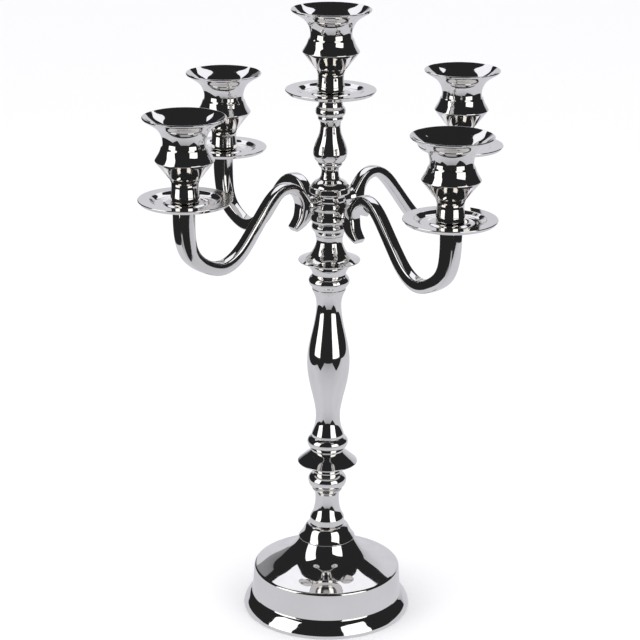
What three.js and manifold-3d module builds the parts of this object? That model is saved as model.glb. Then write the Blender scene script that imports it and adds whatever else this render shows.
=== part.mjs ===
// A five-light table candelabrum in polished nickel plate, about 400 mm high.
// A tie rod pulls the turned pieces of the stem down onto a hollow foot. Four S-shaped arms stand
// off a hub on two crossing studs, so one opposite pair sits a little higher than the other. Each
// arm and the centre column end in a threaded stud that carries a drip pan and a candle cup.
// Millimetres, +Z up, origin at the centre of the foot's underside. The higher arms lie along X.
import * as THREE from "three";
import { mergeVertices } from "three/addons/utils/BufferGeometryUtils.js";
import Module from "manifold-3d";

const wasm = await Module();
wasm.setup();

// ---------------------------------------------------------------- driving dimensions
const GAP = 0.3; // clearance between neighbouring pieces

const FOOT_RADIUS = 55; // outer edge of the foot's lip
const BAND_RADIUS = 47.9; // top edge of the foot's upright band
const BAND_TOP = 28.2;
const SHOULDER_RADIUS = 46.3; // where the rounded top of the band meets the slope
const SHOULDER_HEIGHT = 29.2;
const CROWN_RADIUS = 18.2; // where the slope of the foot meets the collar
const CROWN_HEIGHT = 48.8;
const SHELL_WALL = 1.8;

// Heights of the turned pieces, each from its own foot to the foot of the next.
const COLLAR_HEIGHT = 9.5;
const LOWER_STEM_HEIGHT = 25.7;
const KNOP_HEIGHT = 27.7;
const BALUSTER_HEIGHT = 110;
const FLANGE_HEIGHT = 35.3;
const HUB_HEIGHT = 27.6;
const COLUMN_HEIGHT = 62.4;
const SPIGOT_HEIGHT = 4.4; // the hub's spigot inside the column's foot
const SPIGOT_RADIUS = 7.4;

const COLLAR_FOOT = CROWN_HEIGHT;
const LOWER_STEM_FOOT = COLLAR_FOOT + COLLAR_HEIGHT;
const KNOP_FOOT = LOWER_STEM_FOOT + LOWER_STEM_HEIGHT;
const BALUSTER_FOOT = KNOP_FOOT + KNOP_HEIGHT;
const FLANGE_FOOT = BALUSTER_FOOT + BALUSTER_HEIGHT;
const HUB_FOOT = FLANGE_FOOT + FLANGE_HEIGHT;
const COLUMN_FOOT = HUB_FOOT + HUB_HEIGHT;
const COLUMN_TOP = COLUMN_FOOT + COLUMN_HEIGHT;

const ROD_RADIUS = 4; // M8 tie rod
const ROD_BORE = 4.4;
const STUD_RADIUS = 3; // M6 studs under the pans and over the hub
const STUD_BORE = 3.4;
const CROSS_STUD_RADIUS = 2.5; // M5 studs that join opposite arms
const CROSS_STUD_BORE = 2.85;
const HUB_STUD_REACH = 6; // length of the hub's stud inside the column, above the spigot

const PAN_RADIUS = 28.4;
const PAN_SEAT = 3.4; // from the pan's underside to the top of its rim
const PAN_WELL = 1.6; // depth of the well under the rim
const CUP_RIM = 25;
const CUP_HEIGHT = 51.2; // from the pan's well to the cup's rim
const SOCKET_RADIUS = 11.2; // takes a 22 mm candle
const SOCKET_FLOOR = 24; // from the cup's foot
const CUP_BORE_DEPTH = 15;
const CUP_STUD_ABOVE = 13; // stud length above the pan's well
const CUP_STUD_BELOW = 10; // stud length below the pan's underside

const ARM_REACH = 111; // from the stem's axis to the axis of an outer cup
const PAIR_STEP = 6.4; // the arms along X are higher by this much
const LOW_SEAT = 289.1; // pan seat of the arms along Y
const BOSS_RISE = 15.5; // from the hub's foot to the bosses of the arms along Y
const LOW_BOSS = HUB_FOOT + BOSS_RISE;
const BOSS_RADIUS = 4.2;
const BOSS_ROOT = 9.4;
const BOSS_END = 19; // inside the arm's bar
const CROSS_STUD_REACH = 20.5; // half the length of a cross stud
const ARM_EDGE = 1; // chamfer along the arm's four edges

// The arm's middle line in its own upright plane: distance out from the stem's axis, height below
// the pan seat, then the bar's depth in that plane and its width across it.
const ARM_STATIONS = [
  [111.9, 0, 12.2, 9.6],
  [111.8, -17.1, 11.8, 9.4],
  [107.6, -32.1, 10.2, 9],
  [96.5, -41.2, 8.7, 8.4],
  [84, -44.3, 8.3, 8],
  [73.4, -39.8, 8, 7.8],
  [63.2, -29.1, 7.5, 7.5],
  [52.6, -15.7, 7.2, 7.4],
  [44.8, -7.1, 7.2, 7.4],
  [36.4, -2.7, 6.8, 7.4],
  [28.8, -4.5, 6.8, 7.6],
  [23.4, -10.5, 7.6, 8],
  [20.9, -18, 10.6, 8.4],
  [23.6, -24.7, 8.6, 8],
  [29, -29.1, 4.5, 7.6],
];

// Facets round each turned piece, and rings along each arm.
const STEM_FACETS = 16;
const FOOT_FACETS = 24;
const PAN_FACETS = 16;
const CUP_FACETS = 16;
const ROD_FACETS = 12;
const ARM_STEPS = 24;

// ---------------------------------------------------------------- materials
const nickel = () => new THREE.MeshStandardMaterial({ color: 0xd9d6cf, metalness: 1, roughness: 0.07 });
const steel = () => new THREE.MeshStandardMaterial({ color: 0xa7a9ab, metalness: 1, roughness: 0.35 });
const felt = () => new THREE.MeshStandardMaterial({ color: 0x191a1c, metalness: 0, roughness: 0.95 });

// ---------------------------------------------------------------- shape helpers
const points = (pairs) => pairs.map(([r, h]) => new THREE.Vector2(r, h));

// Starts the outline of a turned piece: radius first, then height above the piece's foot.
const outline = (radius, height) => new THREE.Path().moveTo(radius, height);

// Turns an outline about Z. One that doesn't touch the axis is closed on itself.
function turned(path, facets) {
  const profile = path.getPoints(1);
  const first = profile[0];
  if (first.x > 0) profile.push(first.clone());
  return new THREE.LatheGeometry(profile, facets).rotateX(Math.PI / 2);
}

function rod(radius, length) {
  const profile = outline(0, 0).lineTo(radius, 0).lineTo(radius, length).lineTo(0, length);
  return turned(profile, ROD_FACETS);
}

// A rod along X from one distance out to another, at a height.
const rodAlongX = (radius, from, to, height) =>
  rod(radius, to - from).rotateY(Math.PI / 2).translate(from, 0, height);

function ring(inner, outer, height, facets) {
  const profile = outline(inner, 0).lineTo(outer, 0).lineTo(outer, height).lineTo(inner, height);
  return turned(profile, facets);
}

function solid(geometry) {
  const bare = new THREE.BufferGeometry();
  bare.setAttribute("position", geometry.getAttribute("position"));
  bare.setIndex(geometry.index);
  const merged = mergeVertices(bare, 1e-3);
  return new wasm.Manifold(
    new wasm.Mesh({
      numProp: 3,
      vertProperties: new Float32Array(merged.getAttribute("position").array),
      triVerts: new Uint32Array(merged.index.array),
    }),
  );
}

function fromSolid(body) {
  const { vertProperties, triVerts } = body.getMesh();
  const geometry = new THREE.BufferGeometry();
  geometry.setAttribute("position", new THREE.BufferAttribute(vertProperties, 3));
  geometry.setIndex(new THREE.BufferAttribute(triVerts, 1));
  geometry.computeVertexNormals();
  return geometry;
}

// Skins a row of rings that all have the same number of corners, and closes both ends.
function skin(rings) {
  const corners = rings[0].length;
  const positions = rings.flat().flatMap((p) => [p.x, p.y, p.z]);
  const faces = [];
  for (let i = 0; i + 1 < rings.length; i++) {
    for (let j = 0; j < corners; j++) {
      const a = i * corners + j;
      const b = i * corners + ((j + 1) % corners);
      faces.push(a, a + corners, b, b, a + corners, b + corners);
    }
  }
  const last = (rings.length - 1) * corners;
  for (let j = 1; j + 1 < corners; j++) {
    faces.push(0, j, j + 1, last, last + j + 1, last + j);
  }
  const geometry = new THREE.BufferGeometry();
  geometry.setAttribute("position", new THREE.Float32BufferAttribute(positions, 3));
  geometry.setIndex(faces);
  return geometry;
}

// ---------------------------------------------------------------- foot
// A spun shell, open below: flared lip, upright band, and a slope that steepens to the crown.
function footShell() {
  const w = SHELL_WALL;
  const crownInside = CROWN_HEIGHT - GAP - w;
  return outline(ROD_BORE, crownInside)
    .lineTo(CROWN_RADIUS - w, crownInside)
    .splineThru(points([[21, 41], [26, 36.3], [31.2, 33.2], [37.3, 30.3], [BAND_RADIUS - w, BAND_TOP - w / 2]]))
    .lineTo(49.3 - w, 11.2)
    .splineThru(points([[50, 5.8], [FOOT_RADIUS - w - 0.4, 0]]))
    .lineTo(FOOT_RADIUS - 0.6, 0)
    .lineTo(FOOT_RADIUS, 0.8)
    .lineTo(FOOT_RADIUS, 2.4)
    .splineThru(points([[53.4, 5.4], [51.2, 8.4], [49.3, 10.8]]))
    .lineTo(48.3, 26.6)
    .lineTo(BAND_RADIUS, BAND_TOP)
    .lineTo(SHOULDER_RADIUS, SHOULDER_HEIGHT)
    .splineThru(points([[38, 32], [32, 34.8], [27, 37.9], [22.5, 42.3], [CROWN_RADIUS, CROWN_HEIGHT - GAP]]))
    .lineTo(ROD_BORE, CROWN_HEIGHT - GAP);
}

const FELT_RADIUS = 50.5;
const FELT_THICKNESS = 1.2;
const WASHER_RADIUS = 12;
const WASHER_THICKNESS = 1.6;
const NUT_HEIGHT = 6.5;
const NUT_CORNER = 7.5; // M8 hexagon, 13 mm across flats
const NUT_SIDES = 6;
const NUT_BORE = 4.8;
const ROD_PAST_NUT = 6; // length of the tie rod below the nut
const ROD_FOOT = CROWN_HEIGHT - SHELL_WALL - WASHER_THICKNESS - NUT_HEIGHT - ROD_PAST_NUT;
const ROD_TOP = LOW_BOSS - CROSS_STUD_RADIUS - 3 * GAP;

// ---------------------------------------------------------------- turned pieces of the stem
function collar() {
  return outline(ROD_BORE, 0)
    .lineTo(18.2, 0)
    .lineTo(18.5, 0.6)
    .lineTo(17.9, 1.2)
    .splineThru(points([[16, 3.9], [14.5, 7.1], [12.6, COLLAR_HEIGHT - GAP]]))
    .lineTo(ROD_BORE, COLLAR_HEIGHT - GAP);
}

function lowerStem() {
  return outline(ROD_BORE, 0)
    .lineTo(10.9, 0)
    .lineTo(11.4, 0.8)
    .lineTo(11.3, 4.6)
    .splineThru(points([[10.1, 7.1], [8.7, 10.7], [7.8, 15.1], [7.75, 18.8], [8.3, 23]]))
    .lineTo(9.9, LOWER_STEM_HEIGHT - GAP)
    .lineTo(ROD_BORE, LOWER_STEM_HEIGHT - GAP);
}

// A round bead under an umbrella-shaped disc.
function knop() {
  return outline(ROD_BORE, 0)
    .lineTo(9.8, 0)
    .splineThru(points([[11.8, 3], [12.6, 5.9], [11.8, 8.7], [9.9, 11]]))
    .splineThru(points([[11, 14.3], [14.6, 17], [19.2, 18.4]]))
    .lineTo(19.5, 19.3)
    .splineThru(points([[15.4, 22.6], [12, 25.6], [10.8, KNOP_HEIGHT - GAP]]))
    .lineTo(ROD_BORE, KNOP_HEIGHT - GAP);
}

// A ring at the foot, a slim neck, the long belly and a flared head.
function baluster() {
  return outline(ROD_BORE, 0)
    .lineTo(10.8, 0)
    .splineThru(points([[12.7, 2.6], [13.27, 5.1], [12.5, 7.5], [10.9, 8.9]]))
    .lineTo(10.6, 10.6)
    .splineThru(points([[9, 14.8], [7.9, 20.5], [8, 27], [9.3, 33.8], [11.8, 44.9], [13.4, 53.5]]))
    .splineThru(points([[13.7, 59.3], [13.3, 66.3], [12, 74.3], [9.7, 84.6], [8.2, 93.5]]))
    .splineThru(points([[8, 98.6], [8.7, 103.5], [10.2, 107.4]]))
    .lineTo(10.9, BALUSTER_HEIGHT - GAP)
    .lineTo(ROD_BORE, BALUSTER_HEIGHT - GAP);
}

// A bead and a cove under a wide thin disc, with a trumpet neck above it.
function flange() {
  return outline(ROD_BORE, 0)
    .lineTo(10.6, 0)
    .lineTo(11, 1)
    .splineThru(points([[12.6, 3.1], [13.05, 4.9], [12.4, 7], [10.6, 9.8]]))
    .splineThru(points([[12, 13.2], [15, 16.8], [19.4, 18.4]]))
    .lineTo(19.8, 19.3)
    .splineThru(points([[14, 21.2], [10.9, 24.4], [8.6, 28.6], [8.2, 31.3], [8.9, FLANGE_HEIGHT - GAP]]))
    .lineTo(ROD_BORE, FLANGE_HEIGHT - GAP);
}

// Outer outline of the hub, standing proud of its true surface by the given amount.
function hubRings(path, proud) {
  const out = (pairs) => points(pairs.map(([r, h]) => [r + proud, h]));
  return path
    .lineTo(8.9 + proud, 0)
    .lineTo(9.6 + proud, 1.5)
    .splineThru(out([[11.1, 4], [11.3, 6], [10.6, 8.6]]))
    .splineThru(out([[11.9, 10.9], [11.6, 13.4], [10.2, 16]]))
    .splineThru(out([[10.9, 19], [9.8, 22.4]]))
    .lineTo(10.2 + proud, 23.7)
    .lineTo(9.8 + proud, 25)
    .lineTo(10.6 + proud, HUB_HEIGHT - GAP);
}

function hub() {
  const rodDepth = ROD_TOP - HUB_FOOT + GAP;
  const studFloor = LOW_BOSS + PAIR_STEP + CROSS_STUD_RADIUS + GAP - HUB_FOOT;
  const spigotTop = HUB_HEIGHT + SPIGOT_HEIGHT;
  const path = outline(0, rodDepth).lineTo(ROD_BORE, rodDepth).lineTo(ROD_BORE, 0);
  hubRings(path, 0)
    .lineTo(SPIGOT_RADIUS, HUB_HEIGHT - GAP)
    .lineTo(SPIGOT_RADIUS, spigotTop - GAP)
    .lineTo(STUD_BORE, spigotTop - GAP)
    .lineTo(STUD_BORE, studFloor)
    .lineTo(0, studFloor);
  const across = 2 * HUB_HEIGHT;
  const tunnel = (height) => rodAlongX(CROSS_STUD_BORE, -across, across, height);
  return fromSolid(
    solid(turned(path, STEM_FACETS))
      .subtract(solid(tunnel(LOW_BOSS - HUB_FOOT).rotateZ(Math.PI / 2)))
      .subtract(solid(tunnel(LOW_BOSS - HUB_FOOT + PAIR_STEP))),
  );
}

// The slim centre column above the hub, with a recess for the hub's spigot.
function column() {
  const studTop = SPIGOT_HEIGHT + HUB_STUD_REACH + GAP;
  const headFloor = COLUMN_HEIGHT - CUP_STUD_BELOW - 2 * GAP;
  return outline(0, studTop)
    .lineTo(STUD_BORE, studTop)
    .lineTo(STUD_BORE, SPIGOT_HEIGHT + GAP)
    .lineTo(SPIGOT_RADIUS + GAP, SPIGOT_HEIGHT + GAP)
    .lineTo(SPIGOT_RADIUS + GAP, 0)
    .lineTo(12.6, 0)
    .lineTo(12.9, 0.6)
    .lineTo(12.9, 3.8)
    .lineTo(12.2, 4.4)
    .splineThru(points([[10.6, 6.3], [6.8, 8.9], [5.2, 11.8], [5, 15.2]]))
    .splineThru(points([[7, 17.6], [7.5, 19.4]]))
    .lineTo(8.7, 20.5)
    .splineThru(points([[10.3, 23.4], [10.7, 25.9], [9.8, 30.4], [7.4, 36.4], [6.25, 42.6]]))
    .lineTo(7.7, 48)
    .lineTo(7.5, 49)
    .splineThru(points([[9.1, 50.4], [9.3, 52.4], [8.3, 54.9], [7.2, 57.2]]))
    .lineTo(8.6, COLUMN_HEIGHT - GAP)
    .lineTo(STUD_BORE, COLUMN_HEIGHT - GAP)
    .lineTo(STUD_BORE, headFloor)
    .lineTo(0, headFloor);
}

// ---------------------------------------------------------------- lights
// Outline heights are above the pan's own underside.
function dripPan() {
  const well = PAN_SEAT - PAN_WELL;
  return outline(STUD_BORE, 0)
    .lineTo(16.5, 0)
    .lineTo(20.5, 0.9)
    .lineTo(PAN_RADIUS - 0.7, 1)
    .lineTo(PAN_RADIUS, 2.1)
    .lineTo(PAN_RADIUS - 0.5, PAN_SEAT)
    .lineTo(20.6, PAN_SEAT - 0.5)
    .lineTo(19.3, PAN_SEAT - 0.2)
    .splineThru(points([[17.2, well + 0.3], [15.6, well]]))
    .lineTo(STUD_BORE, well);
}

// Trumpet mouth and candle socket over a sharp shoulder and a waisted stem.
function candleCup() {
  const lip = CUP_HEIGHT;
  return outline(0, CUP_BORE_DEPTH)
    .lineTo(STUD_BORE, CUP_BORE_DEPTH)
    .lineTo(STUD_BORE, GAP)
    .lineTo(8.9, GAP)
    .splineThru(points([[8.4, 3.5], [8.15, 9], [9.1, 13.2]]))
    .lineTo(15.2, 21.2)
    .lineTo(17.85, 24.8)
    .splineThru(points([[15.9, 28.2], [14.1, 32.6]]))
    .lineTo(13.1, 33.8)
    .splineThru(points([[13.1, 37.2], [15.8, 43.2], [20.2, 46.6], [CUP_RIM, lip - 1]]))
    .lineTo(CUP_RIM - 0.7, lip)
    .splineThru(points([[21.5, 48.7], [18, 46.2], [14.6, 43], [SOCKET_RADIUS, 36.8]]))
    .lineTo(SOCKET_RADIUS, SOCKET_FLOOR)
    .lineTo(0, SOCKET_FLOOR);
}

// ---------------------------------------------------------------- arms
// Corners of the bar at one station, round the middle line: four sides with chamfered edges.
function barSection(middle, across, depth, width) {
  const d = depth / 2;
  const w = width / 2;
  const corners = [
    [d, w - ARM_EDGE],
    [d - ARM_EDGE, w],
    [ARM_EDGE - d, w],
    [-d, w - ARM_EDGE],
    [-d, ARM_EDGE - w],
    [ARM_EDGE - d, -w],
    [d - ARM_EDGE, -w],
    [d, ARM_EDGE - w],
  ];
  return corners.map(([a, b]) => new THREE.Vector3(middle.x + a * across.x, b, middle.z + a * across.z));
}

function armBar() {
  const middle = new THREE.CatmullRomCurve3(ARM_STATIONS.map(([x, z]) => new THREE.Vector3(x, 0, z)));
  const sizes = new THREE.CatmullRomCurve3(ARM_STATIONS.map((s) => new THREE.Vector3(s[2], s[3], 0)));
  const rings = [];
  for (let i = 0; i <= ARM_STEPS; i++) {
    const t = i / ARM_STEPS;
    const along = middle.getTangent(t);
    const size = sizes.getPoint(t);
    const across = new THREE.Vector3(-along.z, 0, along.x);
    rings.push(barSection(middle.getPoint(t), across, size.x, size.y));
  }
  return skin(rings);
}

// One arm along +X, with its pan seat at height 0 and its boss shaped to the hub's rings.
function arm(seat, bossHeight) {
  const boss = rodAlongX(BOSS_RADIUS, BOSS_ROOT, BOSS_END, bossHeight - seat);
  const saddle = hubRings(outline(0, 0), GAP).lineTo(0, HUB_HEIGHT - GAP);
  const stud = rodAlongX(CROSS_STUD_BORE, 0, CROSS_STUD_REACH + GAP, bossHeight - seat);
  const cupStud = rod(STUD_BORE, 2 * CUP_STUD_BELOW).translate(ARM_REACH, 0, -CUP_STUD_BELOW - GAP);
  return fromSolid(
    solid(armBar())
      .add(solid(boss))
      .subtract(solid(turned(saddle, STEM_FACETS).translate(0, 0, HUB_FOOT - seat)))
      .subtract(solid(stud))
      .subtract(solid(cupStud)),
  );
}

// ---------------------------------------------------------------- assembly
const candelabrum = new THREE.Group();

function add(parent, name, geometry, material, height = 0) {
  const mesh = new THREE.Mesh(geometry, material);
  mesh.name = name;
  mesh.position.z = height;
  parent.add(mesh);
  return mesh;
}

const feltPad = ring(0, FELT_RADIUS, FELT_THICKNESS, FOOT_FACETS);
const footWasher = ring(ROD_BORE, WASHER_RADIUS, WASHER_THICKNESS, STEM_FACETS);
const footNut = ring(NUT_BORE, NUT_CORNER, NUT_HEIGHT, NUT_SIDES);
const washerFoot = CROWN_HEIGHT - SHELL_WALL - 2 * GAP - WASHER_THICKNESS;
const nutFoot = washerFoot - GAP - NUT_HEIGHT;
add(candelabrum, "felt_pad", feltPad, felt());
add(candelabrum, "foot_shell", turned(footShell(), FOOT_FACETS), nickel());
add(candelabrum, "foot_washer", footWasher, steel(), washerFoot);
add(candelabrum, "foot_nut", footNut, steel(), nutFoot);
add(candelabrum, "tie_rod", rod(ROD_RADIUS, ROD_TOP - ROD_FOOT), steel(), ROD_FOOT);

add(candelabrum, "collar", turned(collar(), STEM_FACETS), nickel(), COLLAR_FOOT);
add(candelabrum, "lower_stem", turned(lowerStem(), STEM_FACETS), nickel(), LOWER_STEM_FOOT);
add(candelabrum, "knop", turned(knop(), STEM_FACETS), nickel(), KNOP_FOOT);
add(candelabrum, "baluster", turned(baluster(), STEM_FACETS), nickel(), BALUSTER_FOOT);
add(candelabrum, "flange", turned(flange(), STEM_FACETS), nickel(), FLANGE_FOOT);
add(candelabrum, "hub", hub(), nickel(), HUB_FOOT);
add(candelabrum, "column", turned(column(), STEM_FACETS), nickel(), COLUMN_FOOT);

const hubStudFoot = LOW_BOSS + PAIR_STEP + CROSS_STUD_RADIUS + 2 * GAP;
const hubStudTop = COLUMN_FOOT + SPIGOT_HEIGHT + HUB_STUD_REACH;
add(candelabrum, "hub_stud", rod(STUD_RADIUS, hubStudTop - hubStudFoot), steel(), hubStudFoot);

const crossStud = () => rodAlongX(CROSS_STUD_RADIUS, -CROSS_STUD_REACH, CROSS_STUD_REACH, 0);
add(candelabrum, "cross_stud_x", crossStud(), steel(), LOW_BOSS + PAIR_STEP);
add(candelabrum, "cross_stud_y", crossStud().rotateZ(Math.PI / 2), steel(), LOW_BOSS);

// A stud, a drip pan and a candle cup, standing on a seat at height 0 of the given group.
function addLight(group, place) {
  const studLength = CUP_STUD_BELOW + PAN_SEAT - PAN_WELL + CUP_STUD_ABOVE;
  add(group, `cup_stud_${place}`, rod(STUD_RADIUS, studLength), steel(), -CUP_STUD_BELOW);
  add(group, `drip_pan_${place}`, turned(dripPan(), PAN_FACETS), nickel());
  add(group, `candle_cup_${place}`, turned(candleCup(), CUP_FACETS), nickel(), PAN_SEAT - PAN_WELL);
}

const ARMS = [
  { place: "right", turn: 0, rise: PAIR_STEP },
  { place: "back", turn: Math.PI / 2, rise: 0 },
  { place: "left", turn: Math.PI, rise: PAIR_STEP },
  { place: "front", turn: -Math.PI / 2, rise: 0 },
];

for (const { place, turn, rise } of ARMS) {
  const branch = new THREE.Group();
  branch.rotation.z = turn;
  branch.position.z = LOW_SEAT + rise;
  candelabrum.add(branch);
  add(branch, `arm_${place}`, arm(LOW_SEAT, LOW_BOSS), nickel(), -GAP);
  const light = new THREE.Group();
  light.position.x = ARM_REACH;
  branch.add(light);
  addLight(light, place);
}

const centre = new THREE.Group();
centre.position.z = COLUMN_TOP;
candelabrum.add(centre);
addLight(centre, "centre");

export default candelabrum;
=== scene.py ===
import math

import bpy
import numpy as np
from mathutils import Matrix, Vector, noise


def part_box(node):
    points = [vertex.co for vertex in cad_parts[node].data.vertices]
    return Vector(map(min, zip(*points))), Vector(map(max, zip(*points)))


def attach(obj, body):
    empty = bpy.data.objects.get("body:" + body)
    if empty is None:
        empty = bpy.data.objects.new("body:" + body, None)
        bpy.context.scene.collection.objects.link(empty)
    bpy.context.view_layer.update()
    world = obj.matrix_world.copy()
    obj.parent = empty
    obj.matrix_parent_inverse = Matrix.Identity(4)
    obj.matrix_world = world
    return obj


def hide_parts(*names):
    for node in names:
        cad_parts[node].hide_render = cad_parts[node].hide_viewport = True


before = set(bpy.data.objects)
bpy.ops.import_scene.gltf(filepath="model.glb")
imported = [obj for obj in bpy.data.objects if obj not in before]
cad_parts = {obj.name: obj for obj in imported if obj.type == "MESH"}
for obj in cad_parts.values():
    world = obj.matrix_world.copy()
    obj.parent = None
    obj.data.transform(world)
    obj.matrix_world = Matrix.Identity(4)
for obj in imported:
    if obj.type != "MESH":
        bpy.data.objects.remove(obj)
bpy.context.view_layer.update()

MM = 0.001

# ---------------------------------------------------------------- driving values, in millimetres
EASE = 0.25  # how far a buffed edge is eased back from its corner
SUPPORT = 0.05  # a flat is held true to within this distance of its eased edge
FINE_STEP = 0.1  # first sampling of a curve
MAX_STEP = 2.0  # longest face along an outline
MAX_TRIM = 0.4  # most of a stretch that the easing of one end may take
MAX_TURN = math.radians(5)  # most that an outline turns from one face to the next
SEAM = 0.1  # gap left between two pieces that meet

STEM_FACETS = 112
FOOT_FACETS = 176
BOSS_FACETS = 48
ROD_FACETS = 32

ROD_BORE = 4.4
STUD_BORE = 3.4
SHELL_WALL = 1.8

M8 = (4, 1.25)  # a thread's radius and pitch
M6 = (3, 1)
M5 = (2.5, 0.8)

LIGHTS = ("right", "back", "left", "front", "centre")
ARM_PLACES = LIGHTS[:4]

# The camera's own frame: the direction from the candelabrum to the camera is FRONT, SIDE is its right.
VIEW_AZIMUTH = math.radians(-39.55)
FRONT = Vector((math.sin(VIEW_AZIMUTH), -math.cos(VIEW_AZIMUTH), 0))
SIDE = Vector((math.cos(VIEW_AZIMUTH), math.sin(VIEW_AZIMUTH), 0))


# ---------------------------------------------------------------- outlines
def even_by_bend(dense):
    """The same curve with fewer points, closer together where it turns."""
    steps = np.diff(dense, axis=0)
    lengths = np.linalg.norm(steps, axis=1)
    headings = np.unwrap(np.arctan2(steps[:, 1], steps[:, 0]))
    turns = np.abs(np.diff(headings, prepend=headings[0]))
    spent = np.concatenate([[0], np.cumsum(lengths / MAX_STEP + turns / MAX_TURN)])
    wanted = np.linspace(0, spent[-1], math.ceil(spent[-1]) + 1)
    return np.stack([np.interp(wanted, spent, column) for column in dense.T], axis=1)


def spline(knots, step):
    """Points a step apart on the natural cubic spline through the knots. The first two columns of a knot
    are its place, and any others are carried along with it."""
    knots = np.array(knots, float)
    chords = np.linalg.norm(np.diff(knots[:, :2], axis=0), axis=1)
    reached = np.concatenate([[0], np.cumsum(chords)])
    system = np.eye(len(knots))
    sides = np.zeros_like(knots)
    for i in range(1, len(knots) - 1):
        system[i, i - 1 : i + 2] = chords[i - 1], 2 * (chords[i - 1] + chords[i]), chords[i]
        after = (knots[i + 1] - knots[i]) / chords[i]
        before = (knots[i] - knots[i - 1]) / chords[i - 1]
        sides[i] = 6 * (after - before)
    bends = np.linalg.solve(system, sides)
    at = np.linspace(0, reached[-1], math.ceil(reached[-1] / step) + 1)
    i = np.clip(np.searchsorted(reached, at, side="right") - 1, 0, len(knots) - 2)
    chord = chords[i][:, None]
    left = at[:, None] - reached[i][:, None]
    right = chord - left
    curved = (bends[i] * right**3 + bends[i + 1] * left**3) / (6 * chord)
    start = (knots[i] / chord - bends[i] * chord / 6) * right
    end = (knots[i + 1] / chord - bends[i + 1] * chord / 6) * left
    return curved + start + end


def trimmed(stretch, start, end):
    """A stretch shortened at both ends, with points that hold it true beside the eased corners."""
    reached = np.concatenate([[0], np.cumsum(np.linalg.norm(np.diff(stretch, axis=0), axis=1))])
    low = min(start, MAX_TRIM * reached[-1])
    high = reached[-1] - min(end, MAX_TRIM * reached[-1])
    marks = [low, high]
    if start and high - low > 4 * SUPPORT:
        marks.append(low + SUPPORT)
    if end and high - low > 4 * SUPPORT:
        marks.append(high - SUPPORT)
    inner = reached[(reached > low + 2 * SUPPORT) & (reached < high - 2 * SUPPORT)]
    kept = np.sort(np.concatenate([marks, inner]))
    return np.stack([np.interp(kept, reached, column) for column in stretch.T], axis=1)


def quadratic(start, control, end, shares):
    t = np.asarray(shares)[:, None]
    return (1 - t) ** 2 * np.array(start) + 2 * t * (1 - t) * np.array(control) + t**2 * np.array(end)


class Outline:
    """The outline of a turned piece: radius first, then height above the piece's foot.
    Every corner between two stretches is eased. One that doesn't start on the axis is closed on itself."""

    CORNER_SHARES = np.linspace(0, 1, 8)[1:-1]

    def __init__(self, radius, height):
        self.start = self.end = (radius, height)
        self.stretches = []
        self.eases = []

    def add(self, stretch, ease):
        self.stretches.append(np.array(stretch, float))
        self.eases.append(ease)
        self.end = tuple(stretch[-1])
        return self

    def line(self, radius, height, ease=EASE):
        return self.add([self.end, (radius, height)], ease)

    def curve(self, *through, ease=EASE):
        return self.add(even_by_bend(spline([self.end, *through], FINE_STEP)), ease)

    def points(self):
        closed = self.start[0] > 0
        if closed:
            self.line(*self.start)
        count = len(self.stretches)
        begins = [self.eases[-1] if closed else 0] + self.eases[:-1]
        ends = self.eases[:-1] + [self.eases[-1] if closed else 0]
        parts = [trimmed(s, a, b) for s, a, b in zip(self.stretches, begins, ends)]
        profile = []
        for k, part in enumerate(parts):
            profile.extend(part)
            if closed or k + 1 < count:
                corner = self.stretches[k][-1]
                profile.extend(quadratic(part[-1], corner, parts[(k + 1) % count][0], self.CORNER_SHARES))
        profile = np.array(profile)
        gaps = np.linalg.norm(np.diff(profile, axis=0, prepend=profile[-1:]), axis=1)
        return profile[gaps > 1e-6]


# ---------------------------------------------------------------- meshes
def smooth_mesh(name, vertices, faces):
    """A smooth mesh from millimetres."""
    mesh = bpy.data.meshes.new(name)
    mesh.from_pydata([tuple(v) for v in np.array(vertices) * MM], [], faces)
    mesh.shade_smooth()
    mesh.update()
    return mesh


def grid_faces(rows, facets, closed):
    """Quads between rows of vertices that run round the axis. The last row meets the first if closed."""
    faces = []
    for i in range(rows if closed else rows - 1):
        low = i * facets
        high = (i + 1) % rows * facets
        for j in range(facets):
            k = (j + 1) % facets
            faces.append((low + j, low + k, high + k, high + j))
    return faces


def turned(name, outline, facets=STEM_FACETS):
    """A mesh turned about Z, with its faces outward whichever way the outline runs."""
    profile = outline.points()
    ahead = np.roll(profile, -1, axis=0)
    if np.sum(profile[:, 0] * ahead[:, 1] - ahead[:, 0] * profile[:, 1]) < 0:
        profile = profile[::-1]
    on_axis = profile[0, 0] < 1e-9
    rings = profile[1:-1] if on_axis else profile
    angles = np.arange(facets) * 2 * math.pi / facets
    around = np.stack([np.cos(angles), np.sin(angles)], axis=1)
    vertices = [(r * c, r * s, h) for r, h in rings for c, s in around]
    faces = grid_faces(len(rings), facets, closed=not on_axis)
    if on_axis:
        foot, head = len(vertices), len(vertices) + 1
        last = (len(rings) - 1) * facets
        vertices += [(0, 0, profile[0, 1]), (0, 0, profile[-1, 1])]
        faces += [(foot, (j + 1) % facets, j) for j in range(facets)]
        faces += [(head, last + j, last + (j + 1) % facets) for j in range(facets)]
    return smooth_mesh(name, vertices, faces)


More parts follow.
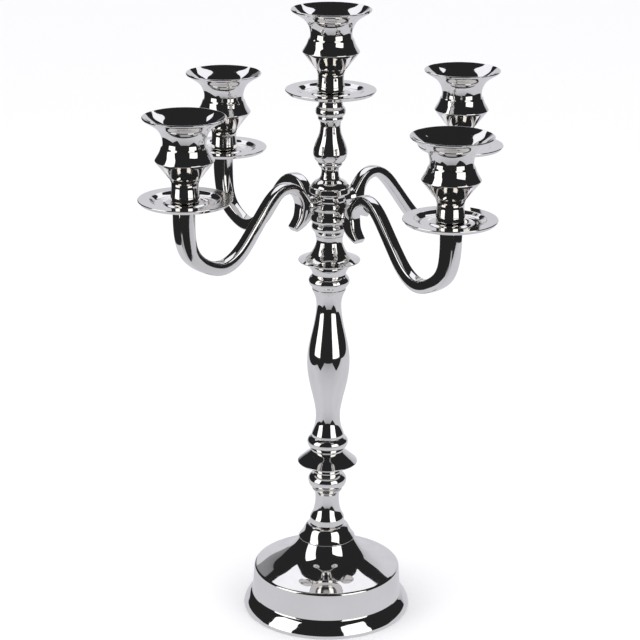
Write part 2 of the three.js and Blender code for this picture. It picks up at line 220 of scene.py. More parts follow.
# ---------------------------------------------------------------- pieces of the foot and stem
def foot_shell():
    """Spun shell: flared lip, upright band, rounded shoulder, and a slope that steepens to the crown."""
    crown = 48.8 - SEAM
    wall = SHELL_WALL
    return (
        Outline(ROD_BORE, crown - wall)
        .line(16.9, crown - wall, ease=1.5)
        .curve((21, 41), (26, 36.3), (31.2, 33.1), (37.3, 30.2), (46, 27.2), ease=2)
        .line(47.4, 11.2, ease=1)
        .curve((48.8, 7.6), (51.2, 3.8), (53.2, 0.9))
        .line(53.6, 0)
        .line(54.7, 0, ease=0.4)
        .line(55, 1.9, ease=0.5)
        .curve((54.2, 4), (52.4, 6.8), (50.6, 9.1), (49.6, 10), ease=0.2)
        .line(49.25, 10.8, ease=0.3)
        .line(48, 28.75, ease=1.4)
        .curve((43.9, 29.93), (38, 31.96), (32, 34.83), (27, 37.86), (22.5, 42.26), (18.2, crown), ease=0.15)
    )


def felt_pad():
    return Outline(0, 0).line(50.5, 0, ease=0.3).line(50.5, 1.2, ease=0.3).line(0, 1.2)


def washer():
    return Outline(ROD_BORE, 0).line(12, 0).line(12, 1.6).line(ROD_BORE, 1.6)


def collar():
    """A bell with a fine ring at its foot and a rounded shoulder."""
    return (
        Outline(ROD_BORE, 0)
        .line(18.1, 0, ease=0.15)
        .line(18.5, 0.5, ease=0.2)
        .line(18, 1.05, ease=0.15)
        .curve((16.9, 2.5), (16, 3.9), (15.2, 5.5), (14.5, 7), (13.5, 8.5), (12.3, 9.3), ease=0.2)
        .line(ROD_BORE, 9.5 - SEAM)
    )


def lower_stem():
    """A rim at the foot, a slim waist, and two small steps under the knop."""
    return (
        Outline(ROD_BORE, 0)
        .line(10.6, 0, ease=0.15)
        .line(10.8, 0.5, ease=0.2)
        .line(11.35, 1, ease=0.4)
        .line(11.25, 4.8, ease=0.4)
        .curve((10.2, 6.9), (9.15, 9), (8.35, 12.1), (7.8, 15.8), (7.75, 19.3), (7.95, 21.9), ease=0.2)
        .line(8.2, 22.4, ease=0.2)
        .curve((8.5, 23.2), (8.95, 24), ease=0.2)
        .line(9.5, 24.4, ease=0.2)
        .line(9.9, 25.7 - SEAM, ease=0.15)
        .line(ROD_BORE, 25.7 - SEAM)
    )


def knop():
    """A round bead under an umbrella-shaped disc."""
    return (
        Outline(ROD_BORE, 0)
        .line(9.7, 0, ease=0.15)
        .line(9.9, 0.6, ease=0.2)
        .curve((11.2, 1.9), (12.3, 4.3), (12.5, 6.2), (11.8, 8.2), (9.9, 10.2), ease=0.2)
        .line(9.4, 12, ease=0.4)
        .curve((10.8, 14.3), (13.2, 16.4), (16.3, 17.8), (19.2, 18.4), ease=0.3)
        .line(19.5, 19, ease=0.3)
        .curve((17.3, 20.9), (15, 22.9), (12.2, 25), (10.5, 26.4), ease=0.3)
        .line(10.4, 27.7 - SEAM, ease=0.15)
        .line(ROD_BORE, 27.7 - SEAM)
    )


def baluster():
    """A bead and a shoulder at the foot, a slim neck, the long belly and a flared head."""
    return (
        Outline(ROD_BORE, 0)
        .line(10.8, 0, ease=0.15)
        .curve((12.1, 1.6), (13, 3.5), (13.25, 5.1), (12.6, 7), (11.3, 8.3), (10.5, 8.8), ease=0.2)
        .line(10.5, 10.6, ease=0.3)
        .curve(
            (9.6, 13), (8.5, 16.6), (7.9, 20.6), (7.9, 25.5), (8.85, 31.9), (10.4, 38.6),
            (12.2, 46.4), (13.3, 53.2), (13.7, 59.6), (13.3, 66.9), (11.9, 74.9), (10.1, 82.9),
            (8.6, 91), (7.97, 97.3), (8.2, 101.9), (9.1, 105.3), (9.9, 107.4), ease=0.3,
        )
        .line(10.5, 108.2, ease=0.2)
        .line(10.9, 110 - SEAM, ease=0.15)
        .line(ROD_BORE, 110 - SEAM)
    )


def flange():
    """A bead and a cove under a wide thin disc, with a trumpet neck above it."""
    return (
        Outline(ROD_BORE, 0)
        .line(10.6, 0, ease=0.15)
        .line(11, 1, ease=0.2)
        .curve((12.2, 2.5), (13.05, 4.9), (12.4, 7.1), (11, 8.7), ease=0.2)
        .line(10.6, 9.8, ease=0.3)
        .curve((11.5, 12.2), (13.3, 14.8), (15.8, 17.1), (19.4, 18.3), ease=0.25)
        .line(19.8, 19, ease=0.3)
        .curve((16.6, 19.9), (13.4, 21.6), (11, 24.2), (9.3, 27.5), (8.4, 30.3), (8.3, 32.5), ease=0.3)
        .line(8.9, 35.3 - SEAM, ease=0.15)
        .line(ROD_BORE, 35.3 - SEAM)
    )


def hub():
    """Stacked rings round the place where the arms meet, with a spigot above for the column."""
    rod_depth = 13
    stud_floor = 25
    spigot = 7.4
    spigot_top = 32 - SEAM
    return (
        Outline(0, rod_depth)
        .line(ROD_BORE, rod_depth)
        .line(ROD_BORE, 0)
        .line(8.9, 0, ease=0.15)
        .curve((9.3, 1.4), (10.2, 2.9), ease=0.3)
        .line(10.9, 3.6, ease=0.2)
        .curve((11.35, 5), (11.2, 6.9), (10.5, 8.2), ease=0.2)
        .curve((11.6, 9.3), (11.95, 11), (11.5, 13), (10.5, 14.6), ease=0.25)
        .line(10.1, 16.4, ease=0.3)
        .curve((10.85, 17.6), (10.95, 19.6), (10.5, 21.5), (9.8, 22.4), ease=0.2)
        .line(10.1, 23.1, ease=0.2)
        .line(10.1, 24.6, ease=0.25)
        .curve((9.7, 25.5), (10, 26.4), (10.9, 27.5), ease=0.15)
        .line(spigot, 27.6 - SEAM)
        .line(spigot, spigot_top)
        .line(STUD_BORE, spigot_top)
        .line(STUD_BORE, stud_floor)
        .line(0, stud_floor)
    )


def column():
    """Banded dome, slim neck, small belly and two beads, with a recess below for the hub's spigot."""
    recess = 7.7
    recess_top = 4.7
    stud_top = 10.7
    head_floor = 51.8
    return (
        Outline(0, stud_top)
        .line(STUD_BORE, stud_top)
        .line(STUD_BORE, recess_top)
        .line(recess, recess_top)
        .line(recess, 0)
        .line(12.5, 0, ease=0.2)
        .line(12.95, 0.6, ease=0.3)
        .line(12.95, 3.7, ease=0.4)
        .line(12, 4.3, ease=0.2)
        .curve((11, 5.9), (9.2, 7.5), (7, 8.8), (5.9, 10.6), (5.4, 13), (5.45, 15.4), ease=0.3)
        .line(6.4, 16.8, ease=0.3)
        .curve((7.2, 17.6), (7.65, 18.6), (7.4, 19.5), ease=0.2)
        .curve(
            (8.6, 20.3), (10.1, 22.6), (10.73, 25.7), (10.3, 28.9), (9.05, 32.5), (7.6, 36),
            (6.5, 40), (6.3, 43.2), (6.75, 45.9), ease=0.2,
        )
        .line(7.5, 46.6, ease=0.2)
        .curve((7.95, 47.7), (7.6, 49), ease=0.2)
        .curve((8.9, 50.1), (9.4, 52), (9, 54), (7.9, 55.3), ease=0.25)
        .curve((7.4, 57.6), (7.7, 60), (8.6, 62.4 - SEAM))
        .line(STUD_BORE, 62.4 - SEAM)
        .line(STUD_BORE, head_floor)
        .line(0, head_floor)
    )


# ---------------------------------------------------------------- lights
def drip_pan():
    """Heights are above the pan's underside: a broad flat rim, a fine step, and a well round a low boss."""
    seat = 3.4
    boss_top = 1.8
    return (
        Outline(STUD_BORE, 0)
        .line(16.5, 0, ease=1)
        .curve((19, 0.35), (21.6, 0.7), ease=1)
        .line(26.7, 0.8, ease=0.7)
        .line(28.35, 2.9, ease=0.2)
        .line(28.1, seat, ease=0.15)
        .line(21.3, seat - 0.2, ease=0.25)
        .curve((20.3, 2.45), (19.3, 1.65), (18.2, 1.1), (16.6, 0.95), (14.4, 0.95), ease=0.2)
        .curve((13.2, 1.15), (12, 1.6), (10.2, boss_top), ease=0.3)
        .line(STUD_BORE, boss_top)
    )


def candle_cup():
    """A trumpet mouth and candle socket over a sharp shoulder and a waisted stem."""
    rim = 51.2
    socket = 11.2
    socket_floor = 24
    bore_depth = 15
    return (
        Outline(0, bore_depth)
        .line(STUD_BORE, bore_depth)
        .line(STUD_BORE, SEAM)
        .line(8.6, SEAM, ease=0.2)
        .line(8.95, 0.7, ease=0.3)
        .line(8.75, 3.4, ease=0.15)
        .line(8.5, 3.7, ease=0.15)
        .curve((8.2, 6.4), (8.1, 9.3), (8.5, 12), (9.6, 14.3), ease=0.2)
        .line(10.2, 14.8, ease=0.2)
        .curve((12, 17.2), (14.3, 20.2), (16.9, 23.4), ease=0.3)
        .line(17.85, 24.8, ease=0.4)
        .curve((16.4, 27.3), (15.1, 29.6), (14.4, 31.4), ease=0.2)
        .line(14.1, 32.5, ease=0.3)
        .line(13.1, 33.5, ease=0.3)
        .curve((12.95, 35.6), (13.3, 38.3), (14.6, 41.6), (17.2, 44.8), (20.6, 47.2), (23.8, 49.2), ease=0.2)
        .line(24.7, 49.9, ease=0.2)
        .line(25, rim - 0.5, ease=0.25)
        .line(24.3, rim, ease=0.3)
        .curve((23, 49.95), (21.5, 48.65), (18, 46.1), (14.7, 42.9), (12.3, 39.6), (socket, 36.5), ease=0.3)
        .line(socket, socket_floor)
        .line(0, socket_floor)
    )


# ---------------------------------------------------------------- arms
# The arm's middle line in its own upright plane: distance out from the stem's axis, height below
# the pan seat, then the bar's depth in that plane and its width across it.
ARM_STATIONS = [
    (111.9, 0, 12.2, 9.6),
    (111.8, -17.1, 11.8, 9.4),
    (107.6, -32.1, 10.2, 9),
    (96.5, -41.2, 8.7, 8.4),
    (84, -44.3, 8.3, 8),
    (73.4, -39.8, 8, 7.8),
    (63.2, -29.1, 7.5, 7.5),
    (52.6, -15.7, 7.2, 7.4),
    (44.8, -7.1, 7.2, 7.4),
    (36.4, -2.7, 6.8, 7.4),
    (28.8, -4.5, 6.8, 7.6),
    (23.4, -10.5, 7.6, 8),
    (20.9, -18, 10.6, 8.4),
    (23.6, -24.7, 8.6, 8),
    (29, -29.1, 4.5, 7.6),
]
ARM_STEP = 1.0
FACE_HALF_TURN = math.radians(8)  # how far a crowned face turns from its middle to its edge
EDGE_RADIUS = 0.3  # of the bar's half thickness
TAIL_EASE = 1.1
WAVE_SIZE = 9  # length of the buffing waves left on the casting
WAVE_HEIGHT = 0.035
BOSS_RADIUS = 4.2
BOSS_ROOT = 9.4
BOSS_END = 19


def bar_section():
    """Corners round a bar with a half thickness of 1: four crowned faces joined by narrow round edges."""
    c, s = math.cos(FACE_HALF_TURN), math.sin(FACE_HALF_TURN)
    face_radius = (1 - EDGE_RADIUS * (c - s)) / (1 - c + s)
    edge_middle = (face_radius - EDGE_RADIUS) * s
    face = [(1 - face_radius, 0, face_radius, a) for a in np.linspace(-1, 1, 7)[:-1] * FACE_HALF_TURN]
    edge_turns = np.linspace(FACE_HALF_TURN, math.pi / 2 - FACE_HALF_TURN, 10)[:-1]
    edge = [(edge_middle, edge_middle, EDGE_RADIUS, a) for a in edge_turns]
    side = [(x + r * math.cos(a), y + r * math.sin(a)) for x, y, r, a in face + edge]
    turns = [(1, 0), (0, 1), (-1, 0), (0, -1)]
    return np.array([(x * p - y * q, x * q + y * p) for p, q in turns for x, y in side])


def arm_rings():
    """Middle points, tangents and half sizes along the bar, with its tail end rounded over."""
    line = spline(ARM_STATIONS, ARM_STEP)
    middles = line[:, :2]
    sizes = line[:, 2:] / 2
    tangents = np.gradient(middles, axis=0)
    tangents /= np.linalg.norm(tangents, axis=1)[:, None]
    turns = np.linspace(0, math.pi / 2, 7)[1:]
    tail = [middles[-1] + tangents[-1] * TAIL_EASE * math.sin(a) for a in turns]
    tail_sizes = [sizes[-1] - TAIL_EASE * (1 - math.cos(a)) for a in turns]
    return (
        np.vstack([middles, tail]),
        np.vstack([tangents, np.tile(tangents[-1], (len(turns), 1))]),
        np.vstack([sizes, tail_sizes]),
    )


def waved(point, outward, seed):
    """A point of the casting, moved in or out by the soft waves that hand buffing leaves."""
    there = Vector(point) / WAVE_SIZE + Vector((seed, 0, 0))
    return Vector(point) + Vector(outward) * WAVE_HEIGHT * noise.noise(there)


def arm_bar(name, seed):
    section = bar_section()
    vertices = []
    for middle, along, (depth, width) in zip(*arm_rings()):
        across = Vector((-along[1], 0, along[0]))
        for a, b in section:
            outward = across * a + Vector((0, b, 0))
            point = Vector((middle[0], 0, middle[1])) + across * a * depth + Vector((0, b * width, 0))
            vertices.append(waved(point, outward, seed))
    corners = len(section)
    rows = len(vertices) // corners
    faces = [face[::-1] for face in grid_faces(rows, corners, closed=False)]
    faces.append(tuple(range(corners)))
    faces.append(tuple(range(len(vertices) - 1, len(vertices) - corners - 1, -1)))
    return smooth_mesh(name, vertices, faces)


def boss():
    """The round boss between the arm and the hub, flared where it is cast into the arm."""
    return (
        Outline(0, BOSS_ROOT)
        .line(BOSS_RADIUS, BOSS_ROOT, ease=0.2)
        .curve((BOSS_RADIUS - 0.1, 13), (BOSS_RADIUS + 0.3, 15.5), (BOSS_RADIUS + 0.9, 17.5))
        .line(BOSS_RADIUS + 0.2, BOSS_END, ease=0.5)
        .line(0, BOSS_END)
    )


def fuse(first, second):
    """Joins the second object's solid to the first and removes the second."""
    modifier = first.modifiers.new("join", "BOOLEAN")
    modifier.operation = "UNION"
    modifier.solver = "EXACT"
    modifier.object = second
    graph = bpy.context.evaluated_depsgraph_get()
    mesh = bpy.data.meshes.new_from_object(first.evaluated_get(graph))
    first.modifiers.clear()
    first.data = mesh
    bpy.data.objects.remove(second)


def arm(place, seed):
    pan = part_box(f"drip_pan_{place}")
    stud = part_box("cross_stud_x" if place in ("right", "left") else "cross_stud_y")
    seat = pan[0].z
    out = (pan[0] + pan[1]) / 2
    turn = Matrix.Rotation(math.atan2(out.y, out.x), 4, "Z")
    there = Matrix.Translation((0, 0, seat - SEAM * MM)) @ turn
    bar = placed(f"fine_arm_{place}", arm_bar(f"arm_{place}", seed), there)
    boss_height = (stud[0].z + stud[1].z) / 2
    lay = Matrix.Translation((0, 0, boss_height)) @ turn @ Matrix.Rotation(math.pi / 2, 4, "Y")
    fuse(bar, placed("boss", turned("boss", boss(), BOSS_FACETS), lay))
    return bar


# ---------------------------------------------------------------- threads and fixings
def threaded_rod(name, thread, length, threads):
    """A rod with rolled threads over the given stretches, each a (from, to) pair of heights. Its ends are
    chamfered at 45 degrees."""
    radius, pitch = thread
    depth = 0.6 * pitch
    shank = radius - depth / 2
    end_radius = radius - depth + 0.2
    rows_per_turn = 10
    heights = {0, length}
    for low, high in threads:
        heights.update(np.linspace(low, high, math.ceil((high - low) / pitch * rows_per_turn) + 1))
    heights = sorted(heights)
    vertices = []
    for h in heights:
        inside = any(low <= h <= high for low, high in threads)
        chamfer = end_radius + min(h, length - h)
        for j in range(ROD_FACETS):
            angle = 2 * math.pi * j / ROD_FACETS
            share = abs((h / pitch - j / ROD_FACETS) % 1 * 2 - 1)
            r = radius - depth * share if inside else shank
            r = min(r, chamfer)
            vertices.append((r * math.cos(angle), r * math.sin(angle), h))
    faces = grid_faces(len(heights), ROD_FACETS, closed=False)
    last = (len(heights) - 1) * ROD_FACETS
    faces.append(tuple(range(ROD_FACETS - 1, -1, -1)))
    faces.append(tuple(range(last, last + ROD_FACETS)))
    return smooth_mesh(name, vertices, faces)


def hexagon_nut(name, across_flats, height, bore):
    """A hexagon nut with its corners turned away at both faces."""
    facets = 96
    flat = across_flats / 2
    corner = flat / math.cos(math.pi / 6)
    rise = (corner - flat) / math.sqrt(3)
    outer = [(h, corner - (rise - min(h, height - h)) * math.sqrt(3)) for h in (0, rise / 2, rise)]
    outer += [(height - h, r) for h, r in reversed(outer)]
    rings = [(0, bore)] + outer + [(height, bore)]
    vertices = []
    for h, limit in rings:
        for j in range(facets):
            angle = 2 * math.pi * j / facets
            to_flat = flat / math.cos((angle + math.pi / 6) % (math.pi / 3) - math.pi / 6)
            r = min(limit, to_flat)
            vertices.append((r * math.cos(angle), r * math.sin(angle), h))
    mesh = smooth_mesh(name, vertices, grid_faces(len(rings), facets, closed=True))
    mesh.set_sharp_from_angle(angle=math.radians(25))
    return mesh


# ---------------------------------------------------------------- materials
def node(tree, kind, settings=None, **inputs):
    """A shader node. Inputs are numbers, colours or the sockets that feed them, _ standing for a space."""
    made = tree.nodes.new("ShaderNode" + kind)
    for key, value in (settings or {}).items():
        setattr(made, key, value)
    for key, value in inputs.items():
        socket = made.inputs[int(key[1:]) if key[1:].isdigit() else key.replace("_", " ")]
        if isinstance(value, bpy.types.NodeSocket):
            tree.links.new(value, socket)
        else:
            socket.default_value = value
    return made


def maths(tree, operation, a, b=0.0):
    return node(tree, "Math", {"operation": operation}, _0=a, _1=b).outputs[0]


def mapped(tree, value, low, high, to_low, to_high):
    made = node(tree, "MapRange", Value=value, From_Min=low, From_Max=high, To_Min=to_low, To_Max=to_high)
    return made.outputs["Result"]


def blended(tree, share, first, second):
    """A colour between two, each an RGB triple or a socket."""
    colours = [c if isinstance(c, bpy.types.NodeSocket) else (*c, 1) for c in (first, second)]
    made = node(tree, "Mix", {"data_type": "RGBA"}, _0=share, _6=colours[0], _7=colours[1])
    return made.outputs[2]


def noise_at(tree, where, scale, detail=3.0, distortion=0.0):
    made = node(tree, "TexNoise", Vector=where, Scale=scale, Detail=detail, Distortion=distortion)
    return made.outputs["Fac"]


def new_material(name):
    material = bpy.data.materials.new(name)
    material.use_nodes = True
    shader = material.node_tree.nodes["Principled BSDF"]
    return material, material.node_tree, shader


def set_shader(tree, shader, **inputs):
    for key, value in inputs.items():
        socket = shader.inputs[key.replace("_", " ")]
        if isinstance(value, bpy.types.NodeSocket):
            tree.links.new(value, socket)
        else:
            socket.default_value = value


NICKEL_BRIGHT = (0.87, 0.855, 0.83)
NICKEL_WARM = (0.81, 0.79, 0.76)
# painted shade: the warm brown that grooves and creases are darkened towards
NICKEL_CREVICE_SHADE = (0.42, 0.36, 0.29)


def nickel_base(name):
    """Polished nickel plate: slightly warm, with faint smears, and painted warm shade darkening the grooves.
    """
    material, tree, shader = new_material(name)
    where = node(tree, "TexCoord").outputs["Object"]
    smear = noise_at(tree, where, 55.0, detail=4.0, distortion=0.6)
    plate = blended(tree, smear, NICKEL_WARM, NICKEL_BRIGHT)
    # painted shade: the colour darkens towards warm brown where the surface turns inward, in grooves and
    # creases
    pointiness = node(tree, "NewGeometry").outputs["Pointiness"]
    painted_groove_shade = mapped(tree, pointiness, 0.40, 0.47, 0.55, 0.0)
    wiped = noise_at(tree, where, 210.0, detail=5.0, distortion=1.4)
    haze = mapped(tree, wiped, 0.45, 0.8, 0.0, 0.035)
    rough = maths(tree, "ADD", mapped(tree, smear, 0.3, 0.75, 0.028, 0.05), haze)
    set_shader(
        tree, shader, Base_Color=blended(tree, painted_groove_shade, plate, NICKEL_CREVICE_SHADE), Metallic=1.0, Roughness=rough
    )
    return material, tree, shader, where


def turned_nickel():
    """Nickel on a turned piece: very faint rings from the lathe and the buffing wheel."""
    material, tree, shader, where = nickel_base("turned_nickel")
    parts = node(tree, "SeparateXYZ", Vector=where).outputs
    flat = node(tree, "CombineXYZ", X=parts["X"], Y=parts["Y"]).outputs[0]
    radius = node(tree, "VectorMath", {"operation": "LENGTH"}, _0=flat).outputs["Value"]
    rings = node(tree, "CombineXYZ", X=radius, Y=parts["Z"]).outputs[0]
    lines = noise_at(tree, rings, 900.0, detail=4.0)
    bump = node(tree, "Bump", Strength=1.0, Distance=0.0000012, Height=lines)
    set_shader(tree, shader, Normal=bump.outputs["Normal"])
    return material


def cast_nickel():
    """Nickel on a buffed casting: fine uneven waves under the plate."""
    material, tree, shader, where = nickel_base("cast_nickel")
    waves = noise_at(tree, where, 260.0, detail=3.0)
    bump = node(tree, "Bump", Strength=1.0, Distance=0.00001, Height=waves)
    set_shader(tree, shader, Normal=bump.outputs["Normal"])
    return material


def zinc_steel():
    """Bright zinc plate on steel screws: satin, with a faint yellow and blue cast."""
    material, tree, shader = new_material("zinc_steel")
    where = node(tree, "TexCoord").outputs["Object"]
    cast = noise_at(tree, where, 140.0, detail=3.0, distortion=0.8)
    colour = blended(tree, cast, (0.60, 0.63, 0.68), (0.72, 0.69, 0.60))
    grain = noise_at(tree, where, 2600.0, detail=3.0)
    bump = node(tree, "Bump", Strength=0.5, Distance=0.00001, Height=grain)
    rough = mapped(tree, grain, 0.3, 0.7, 0.24, 0.4)
    set_shader(tree, shader, Base_Color=colour, Metallic=1.0, Roughness=rough, Normal=bump.outputs["Normal"])
    return material


def felt():
    """Pressed wool felt: matted fibres, lint and a soft sheen."""
    material, tree, shader = new_material("felt")
    where = node(tree, "TexCoord").outputs["Object"]
    swirl = noise_at(tree, where, 180.0, detail=2.0)
    stretched = node(tree, "VectorMath", {"operation": "MULTIPLY"}, _0=where, _1=(1, 0.25, 1)).outputs[0]
    fibres = noise_at(tree, stretched, 2400.0, detail=6.0, distortion=2.5)
    lint = mapped(tree, fibres, 0.62, 0.72, 0.0, 0.5)
    ground = blended(tree, swirl, (0.008, 0.009, 0.010), (0.020, 0.021, 0.023))
    bump = node(tree, "Bump", Strength=0.8, Distance=0.0004, Height=fibres)
    set_shader(
        tree,
        shader,
        Base_Color=blended(tree, lint, ground, (0.07, 0.07, 0.075)),
        Roughness=mapped(tree, fibres, 0.3, 0.7, 0.85, 1.0),
        Sheen_Weight=0.4,
        Normal=bump.outputs["Normal"],
    )
    return material


# ---------------------------------------------------------------- putting the pieces in place
def placed(name, mesh, matrix):
    made = bpy.data.objects.new(name, mesh)
    bpy.context.scene.collection.objects.link(made)
    made.matrix_world = matrix
    return made


def stand_in(piece, material, node_name, body):
    """The piece takes the place of one CAD node."""
    piece.data.materials.clear()
    piece.data.materials.append(material)
    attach(piece, body)
    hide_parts(node_name)


def at_foot(node_name, spin=0.0):
    """The place of a turned piece: on its own axis, at the height of the CAD node's foot."""
    low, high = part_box(node_name)
    middle = (low + high) / 2
    return Matrix.Translation((middle.x, middle.y, low.z)) @ Matrix.Rotation(spin, 4, "Z")


def stand_turned(node_name, outline, body, material, facets=STEM_FACETS, spin=0.0):
    mesh = turned(node_name, outline, facets)
    piece = placed(f"fine_{node_name}", mesh, at_foot(node_name, spin))
    stand_in(piece, material, node_name, body)


def build_stem(nickel, steel, wool):
    stand_turned("felt_pad", felt_pad(), "stem", wool, FOOT_FACETS)
    stand_turned("foot_shell", foot_shell(), "stem", nickel, facets=FOOT_FACETS)
    stand_turned("foot_washer", washer(), "stem", steel)
    pieces = {"collar": collar, "lower_stem": lower_stem, "knop": knop, "baluster": baluster}
    for name, outline in pieces.items():
        stand_turned(name, outline(), "stem", nickel)
    stand_turned("flange", flange(), "flange", nickel)
    stand_turned("hub", hub(), "branches", nickel)
    stand_turned("column", column(), "branches", nickel)


def build_fixings(steel):
    """The nut, the tie rod and every stud, each along its CAD node's longest side."""
    across_flats, nut_height = 13, 6.5
    nut_mesh = hexagon_nut("foot_nut", across_flats, nut_height, ROD_BORE)
    nut = placed("fine_foot_nut", nut_mesh, at_foot("foot_nut"))
    stand_in(nut, steel, "foot_nut", "stem")
    foot_thread, head_thread, cross_thread = 30, 25, 12
    rod_length = height_of("tie_rod")
    rod_threads = [(0, foot_thread), (rod_length - head_thread, rod_length)]
    rod = threaded_rod("tie_rod", M8, rod_length, rod_threads)
    stand_in(placed("fine_tie_rod", rod, at_foot("tie_rod")), steel, "tie_rod", "stem")
    for name in ["hub_stud"] + [f"cup_stud_{place}" for place in LIGHTS]:
        length = height_of(name)
        stud = threaded_rod(name, M6, length, [(0, length)])
        stand_in(placed(f"fine_{name}", stud, at_foot(name)), steel, name, "branches")
    for name, turn in (("cross_stud_x", 0), ("cross_stud_y", math.pi / 2)):
        low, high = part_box(name)
        length = max(high - low) / MM
        lay = Matrix.Rotation(turn, 4, "Z") @ Matrix.Rotation(math.pi / 2, 4, "Y")
        there = Matrix.Translation((low + high) / 2) @ lay @ Matrix.Translation((0, 0, -length * MM / 2))
        stud = threaded_rod(name, M5, length, [(0, cross_thread), (length - cross_thread, length)])
        stand_in(placed(f"fine_{name}", stud, there), steel, name, "branches")


def height_of(node_name):
    low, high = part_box(node_name)
    return (high.z - low.z) / MM


def build_lights(nickel):
    """Five drip pans and cups, each turned on its stud to a place of its own."""
    for index, place in enumerate(LIGHTS):
        spin = math.pi / 2 * index
        stand_turned(f"drip_pan_{place}", drip_pan(), f"pan_{place}", nickel, spin=spin)
        stand_turned(f"candle_cup_{place}", candle_cup(), f"cup_{place}", nickel, spin=spin + math.pi / 2)


def build_arms(nickel):
    for seed, place in enumerate(ARM_PLACES):
        stand_in(arm(place, 7 * seed), nickel, f"arm_{place}", "branches")


# ---------------------------------------------------------------- studio
# The paper that the metal mirrors, in metres as in_studio takes them.
PAPER_LEFT = -0.51
PAPER_RIGHT = 0.93
PAPER_BACK = -0.9
BACKDROP_TOP = 0.76
PAPER_TINT = (0.97, 0.98, 1.06)


def add_floor():
    """A wide pale floor. The metal mirrors the paper just under it instead."""
    reach = 14
    corners = [Vector((x * reach, y * reach, 0)) for x, y in ((-1, -1), (1, -1), (1, 1), (-1, 1))]
    material, tree, shader = new_material("pale_floor")
    fleck = noise_at(tree, node(tree, "TexCoord").outputs["Object"], 400.0, detail=3.0)
    pale = blended(tree, fleck, (0.86, 0.86, 0.87), (0.90, 0.90, 0.905))
    set_shader(tree, shader, Base_Color=pale, Roughness=0.9, Specular_IOR_Level=0.1)
    floor = flat_sheet("floor", corners, material)
    floor.visible_glossy = False


def flat_sheet(name, corners, material):
    mesh = bpy.data.meshes.new(name)
    mesh.from_pydata([tuple(c) for c in corners], [], [tuple(range(len(corners)))])
    mesh.materials.append(material)
    sheet = placed(name, mesh, Matrix.Identity(4))
    return sheet


def in_studio(across, ahead, height):
    """A place in metres from the candelabrum: to the camera's right, towards the camera, and up."""
    return SIDE * across + FRONT * ahead + Vector((0, 0, height))


def lit_paper(name, direction, low, high, low_light, high_light):
    """Paper that glows with painted light, changing along a direction from one distance out to another."""
    material = bpy.data.materials.new(name)
    material.use_nodes = True
    tree = material.node_tree
    tree.nodes.clear()
    where = node(tree, "TexCoord").outputs["Object"]
    along = node(tree, "VectorMath", {"operation": "DOT_PRODUCT"}, _0=where, _1=direction).outputs["Value"]
    mottle = mapped(tree, noise_at(tree, where, 6.0, detail=2.0), 0.3, 0.7, 0.97, 1.03)
    light = maths(tree, "MULTIPLY", mapped(tree, along, low, high, low_light, high_light), mottle)
    # painted light: the sheet glows in place of paper lit by the lamps
    glow = node(tree, "Emission", Color=(*PAPER_TINT, 1), Strength=light)
    output = node(tree, "OutputMaterial", Surface=glow.outputs[0])
    output.is_active_output = True
    return material


def mirrored_only(sheet):
    """Only the metal sees this sheet."""
    sheet.visible_camera = False
    sheet.visible_diffuse = False
    sheet.visible_transmission = False
    sheet.visible_shadow = False


def upright_card(name, left, right, material):
    """A card standing on the paper's back edge, between two distances across."""
    corners = [(left, 0), (right, 0), (right, BACKDROP_TOP), (left, BACKDROP_TOP)]
    mirrored_only(flat_sheet(name, [in_studio(x, PAPER_BACK, z) for x, z in corners], material))


def add_paper():
    """The paper under the candelabrum, narrow between the softboxes."""
    tongue, shoulder, tip = 0.27, 0.29, 0.72
    just_under = -0.0005
    outline = [(PAPER_LEFT, PAPER_BACK), (PAPER_RIGHT, PAPER_BACK), (PAPER_RIGHT, shoulder)]
    outline += [(tongue, shoulder), (tongue, tip), (-tongue, tip), (-tongue, shoulder)]
    outline.append((PAPER_LEFT, shoulder))
    corners = [in_studio(x, y, just_under) for x, y in outline]
    mirrored_only(flat_sheet("paper", corners, lit_paper("lit_paper", FRONT, 0.1, 0.6, 0.68, 0.42)))


def add_backdrop():
    """The same paper turned up behind, in shade at its left end."""
    shade_edge = -0.33
    fade_start = 0.4
    shaded = lit_paper("shaded_paper", SIDE, PAPER_LEFT, shade_edge, 0.2, 0.3)
    upright_card("shaded_backdrop", PAPER_LEFT, shade_edge, shaded)
    lit = lit_paper("lit_backdrop", SIDE, fade_start, PAPER_RIGHT, 0.72, 0.5)
    upright_card("backdrop", shade_edge, PAPER_RIGHT, lit)


def add_panel():
    """A white panel overhead, behind the candelabrum."""
    height = 1.03
    outline = [(-0.74, -0.4), (-0.27, -0.28), (0.27, -0.28), (0.6, -0.46)]
    outline += [(0.41, -0.9), (0.3, -1.2), (-0.3, -1.2), (-0.5, -0.9)]
    corners = [in_studio(x, y, height) for x, y in outline]
    mirrored_only(flat_sheet("panel", corners, lit_paper("lit_panel", FRONT, -1, 0, 1.1, 1.1)))


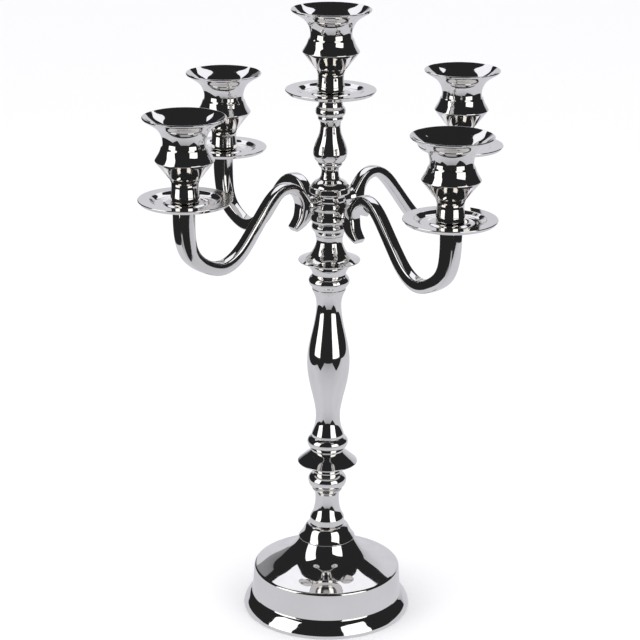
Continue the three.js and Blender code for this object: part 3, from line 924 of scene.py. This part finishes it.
def add_world():
    """A dark studio for the metal, and even light for everything else."""
    world = bpy.data.worlds.new("studio")
    world.use_nodes = True
    bpy.context.scene.world = world
    tree = world.node_tree
    is_mirrored = node(tree, "LightPath").outputs["Is Glossy Ray"]
    even_light = (1.12, 1.12, 1.14)
    dark_room = (0.021, 0.021, 0.023)
    colour = blended(tree, is_mirrored, even_light, dark_room)
    tree.links.new(colour, tree.nodes["Background"].inputs["Color"])


def add_softbox(name, azimuth, tilt, width, top, distance, strength):
    """A rectangular softbox standing on the floor. Its azimuth is measured from FRONT towards SIDE."""
    level = FRONT * math.cos(azimuth) + SIDE * math.sin(azimuth)
    towards = level * math.cos(tilt) + Vector((0, 0, math.sin(tilt)))
    light = bpy.data.lights.new(name, "AREA")
    light.shape = "RECTANGLE"
    light.size = width
    light.size_y = top
    light.energy = strength * width * top * math.pi
    box = bpy.data.objects.new(name, light)
    bpy.context.scene.collection.objects.link(box)
    box.location = level * distance + Vector((0, 0, top / 2))
    box.rotation_mode = "QUATERNION"
    box.rotation_quaternion = towards.to_track_quat("Z", "Y")
    box.visible_camera = False


def add_lights():
    strength = 1.5
    add_softbox("softbox_left", math.radians(-63), math.radians(6), 0.74, 1.36, 1.12, strength)
    add_softbox("softbox_right", math.radians(43), 0, 0.87, 1.2, 1.25, strength)


def add_camera():
    """A long lens from the front, above the drip pans, looking down at the arms."""
    distance = 1.2308
    height = 0.6186
    tilt = math.radians(18.79)
    roll = math.radians(0.52)
    data = bpy.data.cameras.new("camera")
    data.sensor_width = 36
    data.lens = 114.14
    data.shift_x = -0.01364
    camera = bpy.data.objects.new("camera", data)
    bpy.context.scene.collection.objects.link(camera)
    camera.matrix_world = (
        Matrix.Translation(FRONT * distance + Vector((0, 0, height)))
        @ Matrix.Rotation(VIEW_AZIMUTH, 4, "Z")
        @ Matrix.Rotation(math.pi / 2 - tilt, 4, "X")
        @ Matrix.Rotation(roll, 4, "Z")
    )
    bpy.context.scene.camera = camera


def main():
    add_camera()
    plate = turned_nickel()
    steel = zinc_steel()
    build_stem(plate, steel, felt())
    build_fixings(steel)
    build_lights(plate)
    build_arms(cast_nickel())
    add_floor()
    add_paper()
    add_backdrop()
    add_panel()
    add_world()
    add_lights()
    bpy.context.scene.view_settings.view_transform = "Standard"


main()
